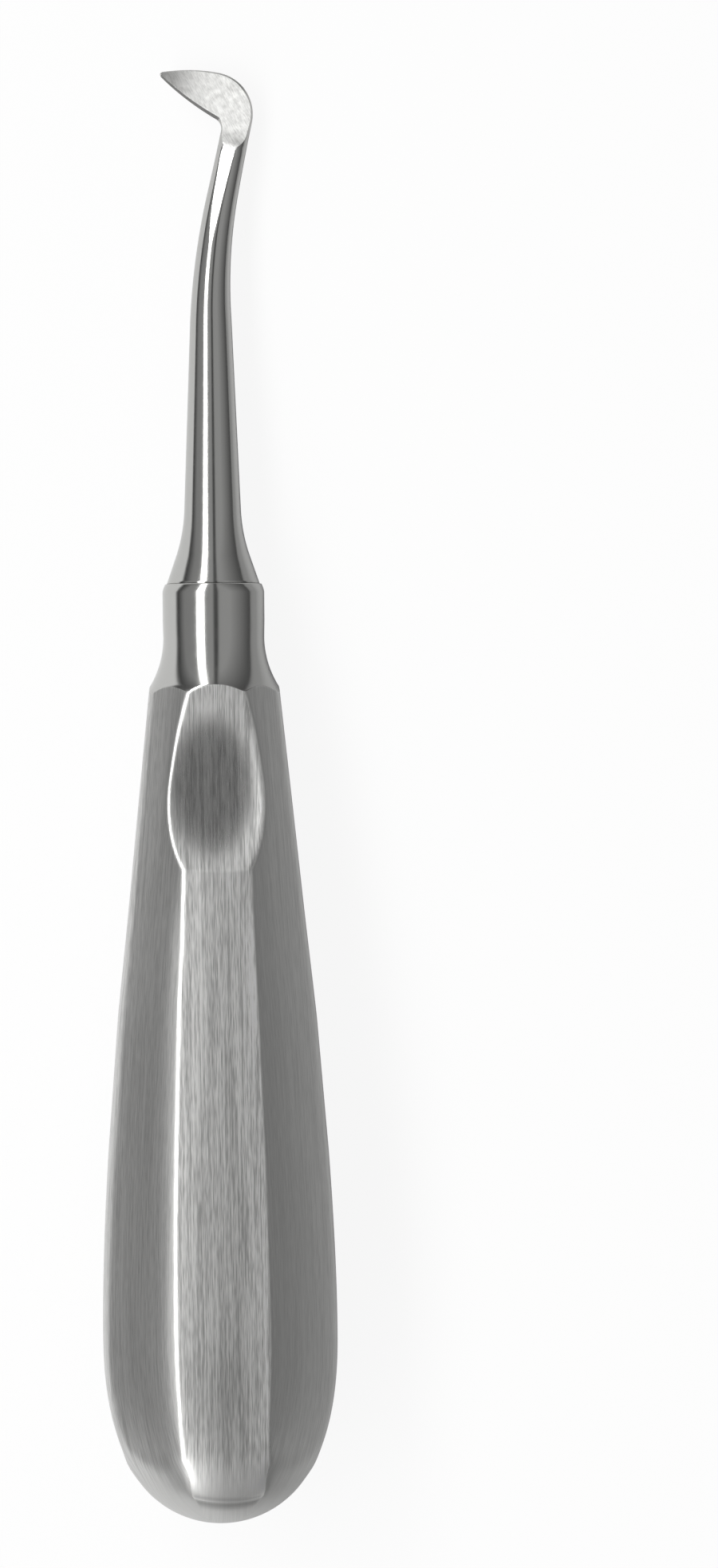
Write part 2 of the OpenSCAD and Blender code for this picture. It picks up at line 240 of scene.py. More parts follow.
def edge_angle(u, first, side):
    """Angle at which a flat meets the next one, found by halving the span between their middles. Near
    the butt the front flat meets the turned cap instead."""
    low = np.full_like(u, first * np.pi / 4)
    high = low + np.pi / 4
    for _ in range(24):
        mid = (low + high) / 2
        if first == 0:
            near = front(u, mid * side)
            far = slant(u, mid * side, near)
            far = np.where(u < GRIP_AT[0], np.minimum(far, lathe(u)), far)
        else:
            near = flat(u, mid * side, first)
            far = flat(u, mid, first + 1)
        low, high = np.where(near < far, mid, low), np.where(near < far, high, mid)
    return low


EDGES_TO = 89
edge_u = np.linspace(LEDGE_AT + LEDGE_SMILE, EDGES_TO, 1731)
edge_lines = {
    half: [0 * edge_u, *[edge_angle(edge_u, first, half) for first in range(4)], 0 * edge_u + np.pi]
    for half in (1, -1)
}


def column_angle(u, part, side):
    """Angle of a grid column, where part 0 to 5 runs from the middle of the front to the rear on either
    side, evenly from one edge between two flats to the next."""
    first = np.minimum(part.astype(int), 4) + np.zeros_like(u, int)
    right, left = [np.array([np.interp(u, edge_u, line) for line in edge_lines[half]]) for half in (1, -1)]
    edges = np.where(side > 0, right, left)
    low = np.take_along_axis(edges, first[None], 0)[0]
    high = np.take_along_axis(edges, first[None] + 1, 0)[0]
    return (low + (high - low) * (part - first)) * side


CROWDING = 0.85


def crowd(count):
    """Places from 0 up to 1 that stand closer together at both ends: t less a share of a full sine."""
    t = np.arange(count) / count
    return t - CROWDING * np.sin(2 * np.pi * t) / (2 * np.pi)


def half_crowd(count):
    """Places from 0 up to 1 that stand closer together towards 1: t plus a share of half a sine."""
    t = np.arange(count) / count
    return t + CROWDING * np.sin(np.pi * t) / np.pi


def spread(count, crowds):
    """Places from 0 to 1 that crowd together round each (place, width, strength), by bell curves."""
    x = np.linspace(0, 1, 4000)
    weight = 1 + sum(strength * np.exp(-(((x - at) / width) ** 2)) for at, width, strength in crowds)
    total = np.concatenate([[0], np.cumsum((weight[1:] + weight[:-1]) / 2)])
    return np.interp(np.linspace(0, total[-1], count), total, x)


# Columns from the middle of the front flat round one side to the middle of the rear one, and back
half_parts = np.concatenate([
    half_crowd(14), 1 + crowd(26), 2 + crowd(26), 3 + crowd(26), (5 - half_crowd(14)[::-1])[:-1], [5]])
part = np.concatenate([half_parts, half_parts[-2:0:-1]])
side = np.concatenate([np.ones(len(half_parts)), -np.ones(len(half_parts) - 2)])

# The place where each column reaches the hollow of the neck, found by halving, and that of the ledge
low_u = np.full(part.shape, 84.0)
high_u = np.full(part.shape, 91.0)
for _ in range(30):
    mid = (low_u + high_u) / 2
    inside = grip_radius(mid, column_angle(mid, part, side)) < lathe(mid)
    low_u, high_u = np.where(inside, mid, low_u), np.where(inside, high_u, mid)
flats_to = low_u
at_ledge = column_angle(0 * part + LEDGE_AT, part, side)
ledge = np.where(part > 4, ledge_at(at_ledge - np.pi * side), ledge_at(at_ledge - ASKEW))

# Rows over the cap, along the flats and down the hollow. They crowd at the ledge, at the thumb
# rest's steep side and where the flats end
cap_rows = np.sin(np.linspace(0, 1, 34)[1:] * np.pi / 2)[:, None] ** 2
cap_u = ledge * cap_rows
body_rows = spread(190, [(0, 0.01, 9), (1, 0.008, 9), (0.775, 0.02, 5)])[1:, None]
body_u = ledge + (flats_to - ledge) * body_rows
neck_rows = spread(40, [(0, 0.06, 9)])[1:, None]
neck_u = flats_to + (COLLAR_FROM - flats_to) * neck_rows
along = np.concatenate([cap_u, body_u, neck_u])
angle = column_angle(along, part + 0 * along, side)
corner = (side < 0) * np.exp(-((part - 1) / CORNER_WIDTH) ** 2) * between(along, HOLLOW_FROM, 84)
blend = np.interp(along, BLEND_AT, BLEND) + CORNER_BLEND * corner
radius = soften(grip_radius(along, angle), lathe(along), blend)

# The collar's straight part, its rounded end, the face round the bore, and the bore's wall and floor
straight_u = np.linspace(COLLAR_FROM, SEAM_AT - COLLAR_FALL_LENGTH, 14)[1:-1]
fall = np.linspace(0, 1, 12)
fall_u = SEAM_AT - COLLAR_FALL_LENGTH * (1 - fall)
fall_r = COLLAR_R - COLLAR_FALL * fall**COLLAR_FALL_POWER
end_u = np.concatenate([straight_u, fall_u, [SEAM_AT] * 3, [SEAM_AT - BORE_DEPTH] * 2])
end_r = np.concatenate([0 * straight_u + COLLAR_R, fall_r, [4, BORE_R + BORE_BEVEL, BORE_R], [BORE_R, 1]])
end_u, end_r = end_u[:, None] + 0 * part, end_r[:, None] + 0 * part
along = np.concatenate([along, end_u])
radius = np.concatenate([radius, end_r])
angle = np.concatenate([angle, np.broadcast_to(angle[-1], end_u.shape)])
handle_points = np.stack([radius * np.sin(angle), along, radius * np.cos(angle)], -1)

TILT = np.arctan((rest_half[0] - rest_half[1]) / (REST_TO - REST_FROM))


def lay(points):
    """Tilts points so that the rear flat lies on the ground, and turns them to metres."""
    x, y, z = np.moveaxis(np.asarray(points, float), -1, 0)
    tilted = np.stack([x, y * np.cos(TILT) + z * np.sin(TILT), z * np.cos(TILT) - y * np.sin(TILT)], -1)
    return tilted / 1000


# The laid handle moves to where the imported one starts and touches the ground
cad_low = np.array(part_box("handle")[0])
laid = lay(handle_points)
shift = np.array([0, cad_low[1] - laid[..., 1].min(), cad_low[2] - laid[..., 2].min()])


def skin(name, rings, first, last):
    """Closed skin over rings of points (rows, places, 3), with a fan to one point at each end."""
    rows, around = rings.shape[:2]
    ids = np.arange(rows * around).reshape(rows, around)
    after = np.roll(ids, -1, 1)
    quads = np.stack([ids[:-1], after[:-1], after[1:], ids[1:]], -1).reshape(-1, 4)
    pole = rows * around
    start = np.stack([np.full(around, pole), after[0], ids[0]], -1)
    end = np.stack([np.full(around, pole + 1), ids[-1], after[-1]], -1)
    points = np.concatenate([rings.reshape(-1, 3), [first, last]])
    mesh = bpy.data.meshes.new(name)
    mesh.from_pydata(points.tolist(), [], start.tolist() + quads.tolist() + end.tolist())
    mesh.polygons.foreach_set("use_smooth", [True] * len(mesh.polygons))
    made = bpy.data.objects.new(name, mesh)
    bpy.context.scene.collection.objects.link(made)
    return made


def carry(piece, name, values, kind="FLOAT"):
    """Gives each point of a piece a value that its materials read."""
    field = "value" if kind == "FLOAT" else "vector"
    made = piece.data.attributes.new(name, kind, "POINT")
    made.data.foreach_set(field, np.ravel(values).astype(np.float32))


def linear(colour):
    """sRGB hex colour to the linear values that a shader takes."""
    srgb = np.array([int(colour[i:i + 2], 16) for i in (1, 3, 5)]) / 255
    return (*np.where(srgb <= 0.04045, srgb / 12.92, ((srgb + 0.055) / 1.055) ** 2.4), 1)


def node(tree, kind, inputs=(), **settings):
    """Adds a node with its settings. Each input, by name or by number, is a value or another node's
    output to link. A Map Range's numbers 1 and 2 are the range it reads, 3 and 4 the one it gives, and
    a Mix goes from its 2 to its 3, or from its 6 to its 7 where it mixes colours."""
    made = tree.nodes.new(kind)
    for name, value in settings.items():
        setattr(made, name, value)
    for name, value in dict(inputs).items():
        if isinstance(value, bpy.types.NodeSocket):
            tree.links.new(value, made.inputs[name])
        else:
            made.inputs[name].default_value = value
    return made


def material(name):
    """An empty material: itself, its node tree and its output."""
    made = bpy.data.materials.new(name)
    made.use_nodes = True
    made.node_tree.nodes.clear()
    return made, made.node_tree, made.node_tree.nodes.new("ShaderNodeOutputMaterial")


def brushed_steel():
    """Stainless steel brushed lengthwise: a soft sheen broken into fine streaks along the axis. The
    streaks are drawn 0.1 to 0.2 mm wide, a little coarser than the real ones, which would not show."""
    made, tree, out = material("brushed_steel")
    grain = node(tree, "ShaderNodeAttribute", attribute_name="grain").outputs["Vector"]
    rest = node(tree, "ShaderNodeAttribute", attribute_name="thumb_rest").outputs["Fac"]
    painted_light = node(tree, "ShaderNodeAttribute", attribute_name="painted_light").outputs["Fac"]
    marked = node(tree, "ShaderNodeAttribute", attribute_name="brushing").outputs["Fac"]
    # Long streaks, shorter ones among them, and faint bands about a millimetre wide
    stretched = node(tree, "ShaderNodeMapping", {"Vector": grain, "Scale": (4.5, 0.08, 4.5)})
    lines = node(tree, "ShaderNodeTexNoise", {
        "Vector": stretched.outputs[0], "Scale": 1, "Detail": 4, "Roughness": 0.7})
    stretched = node(tree, "ShaderNodeMapping", {"Vector": grain, "Scale": (9, 0.5, 9)})
    short = node(tree, "ShaderNodeTexNoise", {"Vector": stretched.outputs[0], "Scale": 1, "Detail": 1})
    streak = node(tree, "ShaderNodeMix", {0: 0.35, 2: lines.outputs[0], 3: short.outputs[0]})
    stretched = node(tree, "ShaderNodeMapping", {"Vector": grain, "Scale": (1.2, 0.03, 1.2)})
    bands = node(tree, "ShaderNodeTexNoise", {"Vector": stretched.outputs[0], "Scale": 1, "Detail": 1})
    mixed = node(tree, "ShaderNodeMix", {0: 0.15, 2: streak.outputs[0], 3: bands.outputs[0]})
    # Streaks show in the colour as far as each place is marked
    tone = node(tree, "ShaderNodeMapRange", {0: mixed.outputs[0], 1: 0.42, 2: 0.58, 3: -0.5, 4: 0.5})
    tone = node(tree, "ShaderNodeMath", {0: tone.outputs[0], 1: marked, 2: 0.5}, operation="MULTIPLY_ADD")
    colour = node(tree, "ShaderNodeMix", {
        0: tone.outputs[0], 6: linear("#A2A2A1"), 7: linear("#ECECEA")}, data_type="RGBA")
    # Painted shade darkens the thumb rest's oval, with an edge that the streaks tear
    torn = node(tree, "ShaderNodeMath", {0: streak.outputs[0], 1: 1.5, 2: -0.75}, operation="MULTIPLY_ADD")
    torn = node(tree, "ShaderNodeMath", {0: torn.outputs[0], 1: rest}, operation="ADD")
    torn = node(tree, "ShaderNodeMapRange", {
        0: torn.outputs[0], 1: 0.15, 2: 0.85}, interpolation_type="SMOOTHSTEP")
    shade = node(tree, "ShaderNodeMix", {
        0: torn.outputs[0], 6: (1, 1, 1, 1), 7: linear("#CCCCCC")}, data_type="RGBA")
    colour = node(tree, "ShaderNodeMix", {
        0: 1, 6: colour.outputs[2], 7: shade.outputs[2]}, data_type="RGBA", blend_type="MULTIPLY")
    # Painted light and painted shade from the handle's brightness attribute multiply the colour
    lit = node(tree, "ShaderNodeCombineColor", {0: painted_light, 1: painted_light, 2: painted_light})
    colour = node(tree, "ShaderNodeMix", {
        0: 1, 6: colour.outputs[2], 7: lit.outputs[0]},
        data_type="RGBA", blend_type="MULTIPLY", clamp_result=True)
    # Streaks vary the gloss, and stand out as a fine relief
    rough = node(tree, "ShaderNodeMapRange", {0: streak.outputs[0], 1: 0.3, 2: 0.7, 3: 0.4, 4: 0.3})
    finer = node(tree, "ShaderNodeMath", {0: rest, 1: -0.1, 2: rough.outputs[0]}, operation="MULTIPLY_ADD")
    depth = node(tree, "ShaderNodeMath", {0: streak.outputs[0], 1: marked}, operation="MULTIPLY")
    bump = node(tree, "ShaderNodeBump", {"Height": depth.outputs[0], "Strength": 0.3, "Distance": 0.00003})
    steel = node(tree, "ShaderNodeBsdfPrincipled", {
        "Base Color": colour.outputs[2], "Metallic": 1, "Roughness": finer.outputs[0],
        "Normal": bump.outputs[0]})
    tree.links.new(steel.outputs[0], out.inputs[0])
    return made


# Colour of the polished steel, and its spots a millimetre wide on coordinates in metres
POLISHED = "#C4C4C2"
MILLIMETRE_SPOTS = 900


def polished_steel():
    """Stainless steel polished bright: clear reflections, a little unclear in spots a millimetre wide."""
    made, tree, out = material("polished_steel")
    position = node(tree, "ShaderNodeTexCoord").outputs["Object"]
    spots = node(tree, "ShaderNodeTexNoise", {"Vector": position, "Scale": MILLIMETRE_SPOTS, "Detail": 4})
    rough = node(tree, "ShaderNodeMapRange", {0: spots.outputs[0], 1: 0.3, 2: 0.7, 3: 0.12, 4: 0.15})
    steel = node(tree, "ShaderNodeBsdfPrincipled", {
        "Base Color": linear(POLISHED), "Metallic": 1, "Roughness": rough.outputs[0]})
    tree.links.new(steel.outputs[0], out.inputs[0])
    return made


pole_points = lay([[0, 0, 0], [0, SEAM_AT - BORE_DEPTH, 0]]) + shift
handle = skin("handle_dressed", laid + shift, *pole_points)

# The grain runs along the axis, and across each flat by the millimetres from its middle
FLATS_APART = 30
flat_number = np.floor(np.minimum(part, 4.99))
from_middle = radius * np.sin(np.abs(angle) - flat_number * np.pi / 4)
grain = np.stack([side * (from_middle + FLATS_APART * flat_number), along, 0 * along], -1).reshape(-1, 3)
carry(handle, "grain", np.concatenate([grain, [[0, 0, 0], [0, 80, 0]]]), "FLOAT_VECTOR")

# Oval of painted shade in the thumb rest's dish, a little left of its middle. It also makes the gloss
# there a little finer
OVAL_HALF_LENGTH, OVAL_HALF_WIDTH, OVAL_LEFT = 7.6, 4.4, 0.5
OVAL_EDGE = 1.3
sideways, upwards = handle_points[..., 0], handle_points[..., 2]
oval = ((along - DISH_AT) / OVAL_HALF_LENGTH) ** 2 + ((sideways + OVAL_LEFT) / OVAL_HALF_WIDTH) ** 2
in_rest = np.clip(OVAL_EDGE - oval, 0, 1) * (upwards > 0)
carry(handle, "thumb_rest", np.concatenate([in_rest.ravel(), [0, 0]]))

# Painted light and shade on the handle: how bright each place is drawn, standing in for how the light
# falls on it. It is painted darker as shade in the groove at the ledge and just under it, and drawn darker
# in a patch near the butt
below = ledge - along
front_part = np.minimum(part, 5 - part)
on_front = part < 1
ledge_shade = 0.24 * np.exp(-((below + 0.38) / 0.2) ** 2)
ledge_shade = ledge_shade + 0.35 * between(below, 0, 0.2) * (1 - between(below, 0.2, 1.1))
ledge_shade = ledge_shade * (1 - between(front_part, 0.9, 1))
darker_patch = 0.22 * np.exp(-((along - 13) / 7) ** 2 - (sideways / 2.8) ** 2) * (upwards > 0)
# Painted light: it is brighter towards the front flat's right edge, at its butt end and beside the thumb
# rest
margin = 0.25 * (side > 0) * on_front * between(part, 0.35, 0.85) * between(-below, 0, 2)
margin = margin * (1 - 0.9 * between(along, 62, 68))
butt_end = 0.55 * (1 - between(along, 4, 9)) * (front_part < 1) * (below < 0)
thumb_end = (0.16 * between(along, 20, 60) + 0.1 * between(along, 60, 70)) * on_front
# Painted light: the other flats are brighter all over on the right, and on the left only beside the front
# one, as a painted highlight along that edge
beside = (side < 0) * np.exp(-((part - 1) / 0.3) ** 2) * (1 - between(along, *BY_THUMB))
others = (0.27 * beside + 0.24 * (side > 0)) * (part >= 1) * between(along, 3, 9)
bright = (1 - ledge_shade) * (1 - darker_patch) * (1 + margin + thumb_end + butt_end + others)
carry(handle, "painted_light", np.concatenate([bright.ravel(), [1, 1]]))

# How strongly each place is marked by the brushing: the front flat most, the right side least
LEFT_MARKS, RIGHT_MARKS = 0.5, 0.22
edge_parts = [0, 0.97, 1.03, 5]
left, right = [np.interp(part, edge_parts, [1, 1, marks, marks]) for marks in (LEFT_MARKS, RIGHT_MARKS)]
brushing = np.where(side > 0, right, left) * (0.1 + 0.9 * between(along, 2.5, 8.5))
carry(handle, "brushing", np.concatenate([brushing.ravel(), [0, 0]]))

# Faces come as the butt's fan, the rows, and the bore's fan: from the hollow on they are polished
handle.data.materials.append(brushed_steel())
handle.data.materials.append(polished_steel())
polished_from = len(cap_u) + len(body_u) - 1
face_rows = np.repeat(np.arange(len(along) - 1), len(part))
finish = np.concatenate([np.zeros(len(part)), face_rows >= polished_from, np.ones(len(part))])
handle.data.polygons.foreach_set("material_index", finish.astype(np.int32))
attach(handle, "root")
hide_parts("handle")

# Working end. The real one is a single forging of hardened stainless steel. Its tang is pressed into
# the handle and its foot sits on the collar. It is polished all over, but for the blade's ground face.

# Turned foot and tapered shank, and the tang in the handle's bore
STRAIGHT = 27.7
FOOT_R, FOOT_LENGTH, FOOT_ANGLE = 4.88, 2.9, np.radians(19)
FOOT_COVE_R = 17
TANG_R, TANG_LENGTH = 2.5, 16
# Bend and leaning neck, with a narrow flat down the neck's upper side
BEND_D, BEND_R = 4.34, 64
LEAN = np.radians(12)
NECK_LENGTH, NECK_TIP_R, NECK_POWER = 6.3, 1.5, 1.7
NECK_FLAT, NECK_FLAT_LENGTH = np.radians(37), 13
NECK_FLAT_START, NECK_FLAT_TO, NECK_FLAT_SOFT = 5, -0.5, 0.04
NECK_COLUMNS_FROM, NECK_COLUMNS_TO = np.radians([60, 150])
# Outline of the blade: arcs round crotch, shoulder, top edge, point and lower edge
BLADE_REACH = 5.1
CROTCH_R, TOP_R, POINT_R, LOW_R = 1.15, 16, 0.3, 32
SHOULDER_R, SHOULDER_RISE, SHOULDER_END = 4.4, 1.5, np.radians(78)
FAN_END, RISE_SHARE = np.radians(50), 0.15
POINT_STOP = np.radians(8)
# Thickness of the blade, drop of its outer edge, and the bevelled land along its lower edge, which
# drops less where a section is narrow
HEEL_T, POINT_T, EDGE_T = 2, 0.45, 0.15
OUTER_STEEP = 0.95
LAND_WIDTH, LAND_TIP_WIDTH, LAND_DROP = 0.42, 0.2, 0.42
NARROW, TINY = 0.6, 1e-6
# Ground face: its height at the crotch, its slopes, and where it climbs out into the neck. Places are
# counted from the crotch, along the neck, and for the turn of the tip outwards across it
FACE_H, FACE_SLOPE = 0.72, 0.03
NECK_ROLL, BLADE_ROLL = 0.32, 0.122
ROLL_FROM, ROLL_TO = -3.2, -0.2
TIP_TURN, TIP_FROM, TIP_LENGTH = 0.05, 5.3, 1.5
CLIMB_FROM, CLIMB_RATE = 0.4, 0.18

# The taper and the end of the foot's hollow depend on each other, and three rounds settle both
bend_at = SEAM_AT + STRAIGHT
cone_end = SEAM_AT + FOOT_LENGTH
cone_end_r = FOOT_R - FOOT_LENGTH * np.tan(FOOT_ANGLE)
taper = 0.0
for _ in range(3):
    drop = FOOT_COVE_R * (np.cos(taper) - np.cos(FOOT_ANGLE))
    run = FOOT_COVE_R * (np.sin(FOOT_ANGLE) - np.sin(taper))
    taper = np.arctan((cone_end_r - drop - BEND_D / 2) / (bend_at - cone_end - run))
bend_length = BEND_R * LEAN
crotch_s = bend_length + NECK_LENGTH


def unit(a):
    """Direction at an angle from the X axis."""
    return np.stack([np.cos(a), np.sin(a)], -1)


def centre(s):
    """Centre line at a length s from the start of the bend: an arc, then straight on."""
    a = np.minimum(s / bend_length, 1) * LEAN
    more = np.maximum(s - bend_length, 0)
    return np.stack([BEND_R * (1 - np.cos(a)) + more * np.sin(LEAN),
                     bend_at + BEND_R * np.sin(a) + more * np.cos(LEAN)], -1)


def neck_radius(s):
    """Radius of bend and neck: what is over the tip's radius shrinks by a power of the way to go."""
    return NECK_TIP_R + (BEND_D / 2 - NECK_TIP_R) * np.clip(1 - s / crotch_s, 0, 1) ** NECK_POWER


crotch = centre(np.float64(crotch_s))
ahead = np.array([np.sin(LEAN), np.cos(LEAN)])
outer = unit(-LEAN)
crotch_c = crotch - (NECK_TIP_R + CROTCH_R) * outer
shoulder_c = crotch + SHOULDER_RISE * ahead + (NECK_TIP_R - SHOULDER_R) * outer
top_c = shoulder_c + (SHOULDER_R - TOP_R) * unit(SHOULDER_END)
point_angle = np.arccos((POINT_R - BLADE_REACH - top_c[0]) / (TOP_R - POINT_R))
point_c = top_c + (TOP_R - POINT_R) * unit(point_angle)

# The lower edge's arc holds the point's circle inside it and the crotch's outside
gap = crotch_c - point_c
gap_length = np.hypot(*gap)
reach = LOW_R - POINT_R
foot = (reach**2 - (LOW_R + CROTCH_R) ** 2 + gap_length**2) / (2 * gap_length)
rise = np.sqrt(reach**2 - foot**2)
low_c = point_c + (foot * gap + rise * np.array([-gap[1], gap[0]])) / gap_length
crotch_end = np.arctan2(*(low_c - crotch_c)[::-1])
low_end = np.arctan2(*(point_c - low_c)[::-1])


def outer_fan(f):
    """Outer edge round the crotch: a straight rise, then the start of the shoulder's arc."""
    f = f[:, None]
    straight = crotch + SHOULDER_RISE * f / RISE_SHARE * ahead + NECK_TIP_R * outer
    turned_by = (FAN_END + LEAN) * (f[:, 0] - RISE_SHARE) / (1 - RISE_SHARE)
    return np.where(f < RISE_SHARE, straight, shoulder_c + SHOULDER_R * unit(turned_by - LEAN))


def outer_blade(f):
    """Outer edge of the blade: the rest of the shoulder's arc, then the top edge's."""
    left = SHOULDER_R * (SHOULDER_END - FAN_END)
    s = f * (left + TOP_R * (point_angle - SHOULDER_END))
    shoulder = shoulder_c + SHOULDER_R * unit(FAN_END + s / SHOULDER_R)
    top = top_c + TOP_R * unit(SHOULDER_END + (s - left) / TOP_R)
    return np.where((s < left)[:, None], shoulder, top)


def steps(count):
    """Shares of a stretch, from the first step to its end."""
    return np.arange(1, count + 1) / count


# Each section runs from a point on the inner rail to one on the outer. Its stage counts neck, fan
# round the crotch, blade and point
neck_f, fan_f, blade_f, point_f = np.linspace(0, 1, 70), steps(44), steps(64), steps(16)
stage = np.concatenate([neck_f, 1 + fan_f, 2 + blade_f, 3 + point_f])
neck_s = crotch_s * neck_f
neck_out = unit(-np.minimum(neck_s / bend_length, 1) * LEAN) * neck_radius(neck_s)[:, None]
low_from = crotch_end - np.pi
low_to = low_end + 2 * np.pi
point_mid = (low_to + point_angle) / 2
inner_rail = np.concatenate([
    centre(neck_s) - neck_out,
    crotch_c + CROTCH_R * unit(-LEAN + (crotch_end + LEAN) * fan_f),
    low_c + LOW_R * unit(low_from + (low_end - low_from) * blade_f),
    point_c + POINT_R * unit(low_to + (point_mid + POINT_STOP - low_to) * point_f)])
outer_rail = np.concatenate([
    centre(neck_s) + neck_out,
    outer_fan(fan_f),
    outer_blade(blade_f),
    point_c + POINT_R * unit(point_angle + (point_mid - POINT_STOP - point_angle) * point_f)])


def face_height(p):
    """Height of the ground face over the plan. On the blade it is nearly level, and turns at the point
    by an exponential. Towards the neck it rolls sideways and climbs with the square of the way, and
    down the neck it is a flat whose half-angle fades by an exponential into the round."""
    v = p - crotch
    d, w = v @ ahead, v @ outer
    back = np.minimum(d, 0)
    climb = FACE_H - FACE_SLOPE * d + CLIMB_RATE * np.maximum(CLIMB_FROM - d, 0) ** 2
    coming = between(crotch_s + d, 0, NECK_FLAT_START)
    half_angle = NECK_FLAT * np.exp(back / NECK_FLAT_LENGTH) * coming
    neck_flat = neck_radius(crotch_s + back) * np.cos(half_angle) * np.hypot(1, NECK_ROLL)
    neck_flat = neck_flat + NECK_FLAT_SOFT * (1 - coming) + FAR * (d > NECK_FLAT_TO)
    roll = NECK_ROLL + (BLADE_ROLL - NECK_ROLL) * between(d, ROLL_FROM, ROLL_TO)
    tip_turn = TIP_TURN * TIP_LENGTH * np.exp(-(w + TIP_FROM) / TIP_LENGTH)
    return np.minimum(climb, neck_flat) + roll * w + tip_turn


middle = (inner_rail + outer_rail) / 2
half_span = (outer_rail - inner_rail) / 2
size = np.hypot(*half_span.T)
bladed = between(stage, 0.9, 1.9)
thick = HEEL_T + (POINT_T - HEEL_T) * between(stage, 2, 3)
deep = size + (thick - size) * bladed
land = LAND_WIDTH + (LAND_TIP_WIDTH - LAND_WIDTH) * between(stage, 1.5, 3)
land_drop = LAND_DROP * np.minimum(land / LAND_WIDTH, size / NARROW)
mid_z = bladed * face_height(middle)


def edge_drop(a):
    """How far a blade section's sides lie under its middle at angles a: from the outer edge's drop to
    the land's, with the cosine. On the neck it is nothing."""
    return (EDGE_T + (land_drop[:, None] - EDGE_T) * (1 - np.cos(a)) / 2) * bladed[:, None]


def side_height(a):
    """Height of a section's upper side at angles a: round on the neck; on the blade a nearly upright
    outer edge, and a flat land on the crotch's side."""
    turn, half, blade = np.cos(a), size[:, None], bladed[:, None]
    outer_side = OUTER_STEEP * half * (1 - turn)
    inner_side = land_drop[:, None] * half * (1 + turn) / land[:, None]
    sharp = np.where(turn > 0, outer_side, inner_side)
    return mid_z[:, None] - edge_drop(a) + half * np.sin(a) * (1 - blade) + sharp * blade


def meet(start):
    """Angle at which a section's side meets the ground face, by halving the span from its edge, at
    angle 0 or pi, to just short of its top."""
    short = 0.17
    low = np.full((len(stage), 1), float(start))
    high = np.full((len(stage), 1), np.pi / 2 + (short if start else -short))
    for _ in range(24):
        a = (low + high) / 2
        p = middle[:, None] + half_span[:, None] * np.cos(a)[..., None]
        below_face = side_height(a) < face_height(p)
        low, high = np.where(below_face, a, low), np.where(below_face, high, a)
    return low[:, 0]


# Down the neck the columns stand evenly over its upper side, on the blade they follow the face's edges
follow = between(stage, 0.88, 0.93)
a_out = NECK_COLUMNS_FROM + (meet(0) - NECK_COLUMNS_FROM) * follow
a_in = NECK_COLUMNS_TO + (meet(np.pi) - NECK_COLUMNS_TO) * follow
ring_a = np.concatenate([
    a_out[:, None] + (a_in - a_out)[:, None] * crowd(36),
    a_in[:, None] + (2 * np.pi + a_out - a_in)[:, None] * crowd(84)], 1)
plan = middle[:, None] + half_span[:, None] * np.cos(ring_a)[..., None]
under = mid_z[:, None] - edge_drop(ring_a) + deep[:, None] * np.sin(ring_a)
z = np.where(np.sin(ring_a) < 0, under, side_height(ring_a))
face_z = face_height(plan)
soft = NECK_FLAT_SOFT * (1 - between(stage, 0.8, 0.9))[:, None] + TINY
blade_rings = np.concatenate([plan, soften(z, face_z, soft)[..., None]], -1)

# The face is ground, and the blade's edges are partly so
EDGE_GROUND = 0.4
on_face = (z > face_z - TINY) * follow[:, None]
on_edge = (np.sin(ring_a) > -0.02) * (stage[:, None] > 1.05)
ground = np.maximum(on_face, EDGE_GROUND * on_edge)

# Tang, foot with a fine bevel at the seam, and shank, turned: rings from the tang's end to the bend
cove_a = np.linspace(FOOT_ANGLE, taper, 24)
turned_u = np.concatenate([
    [SEAM_AT - TANG_LENGTH, SEAM_AT - TANG_LENGTH, SEAM_AT - 0.02, SEAM_AT - 0.01, SEAM_AT],
    np.linspace(SEAM_AT, cone_end, 12)[1:-1],
    cone_end + FOOT_COVE_R * (np.sin(FOOT_ANGLE) - np.sin(cove_a)),
    np.linspace(cone_end + run, bend_at, 40)[1:-1]])
turned_r = np.concatenate([
    [1, TANG_R, TANG_R, FOOT_R - 0.1, FOOT_R],
    np.linspace(FOOT_R, cone_end_r, 12)[1:-1],
    cone_end_r - FOOT_COVE_R * (np.cos(cove_a) - np.cos(FOOT_ANGLE)),
    np.linspace(cone_end_r - drop, BEND_D / 2, 40)[1:-1]])
first_a = ring_a[0]
turned = np.stack([
    turned_r[:, None] * np.cos(first_a),
    turned_u[:, None] + 0 * first_a,
    turned_r[:, None] * np.sin(first_a)], -1)

# Each ring is taken backwards, so that the faces look outwards
shank_rings = np.concatenate([turned, blade_rings])[:, ::-1]
tang_end = [0, SEAM_AT - TANG_LENGTH, 0]
point_end = shank_rings[-1].mean(0)
shank_ends = lay([tang_end, point_end]) + shift
working_end = skin("working_end", lay(shank_rings) + shift, *shank_ends)
on_rings = np.concatenate([np.zeros(turned.shape[:2]), ground[:, ::-1]])
carry(working_end, "ground", np.concatenate([on_rings.ravel(), [0, EDGE_GROUND]]))


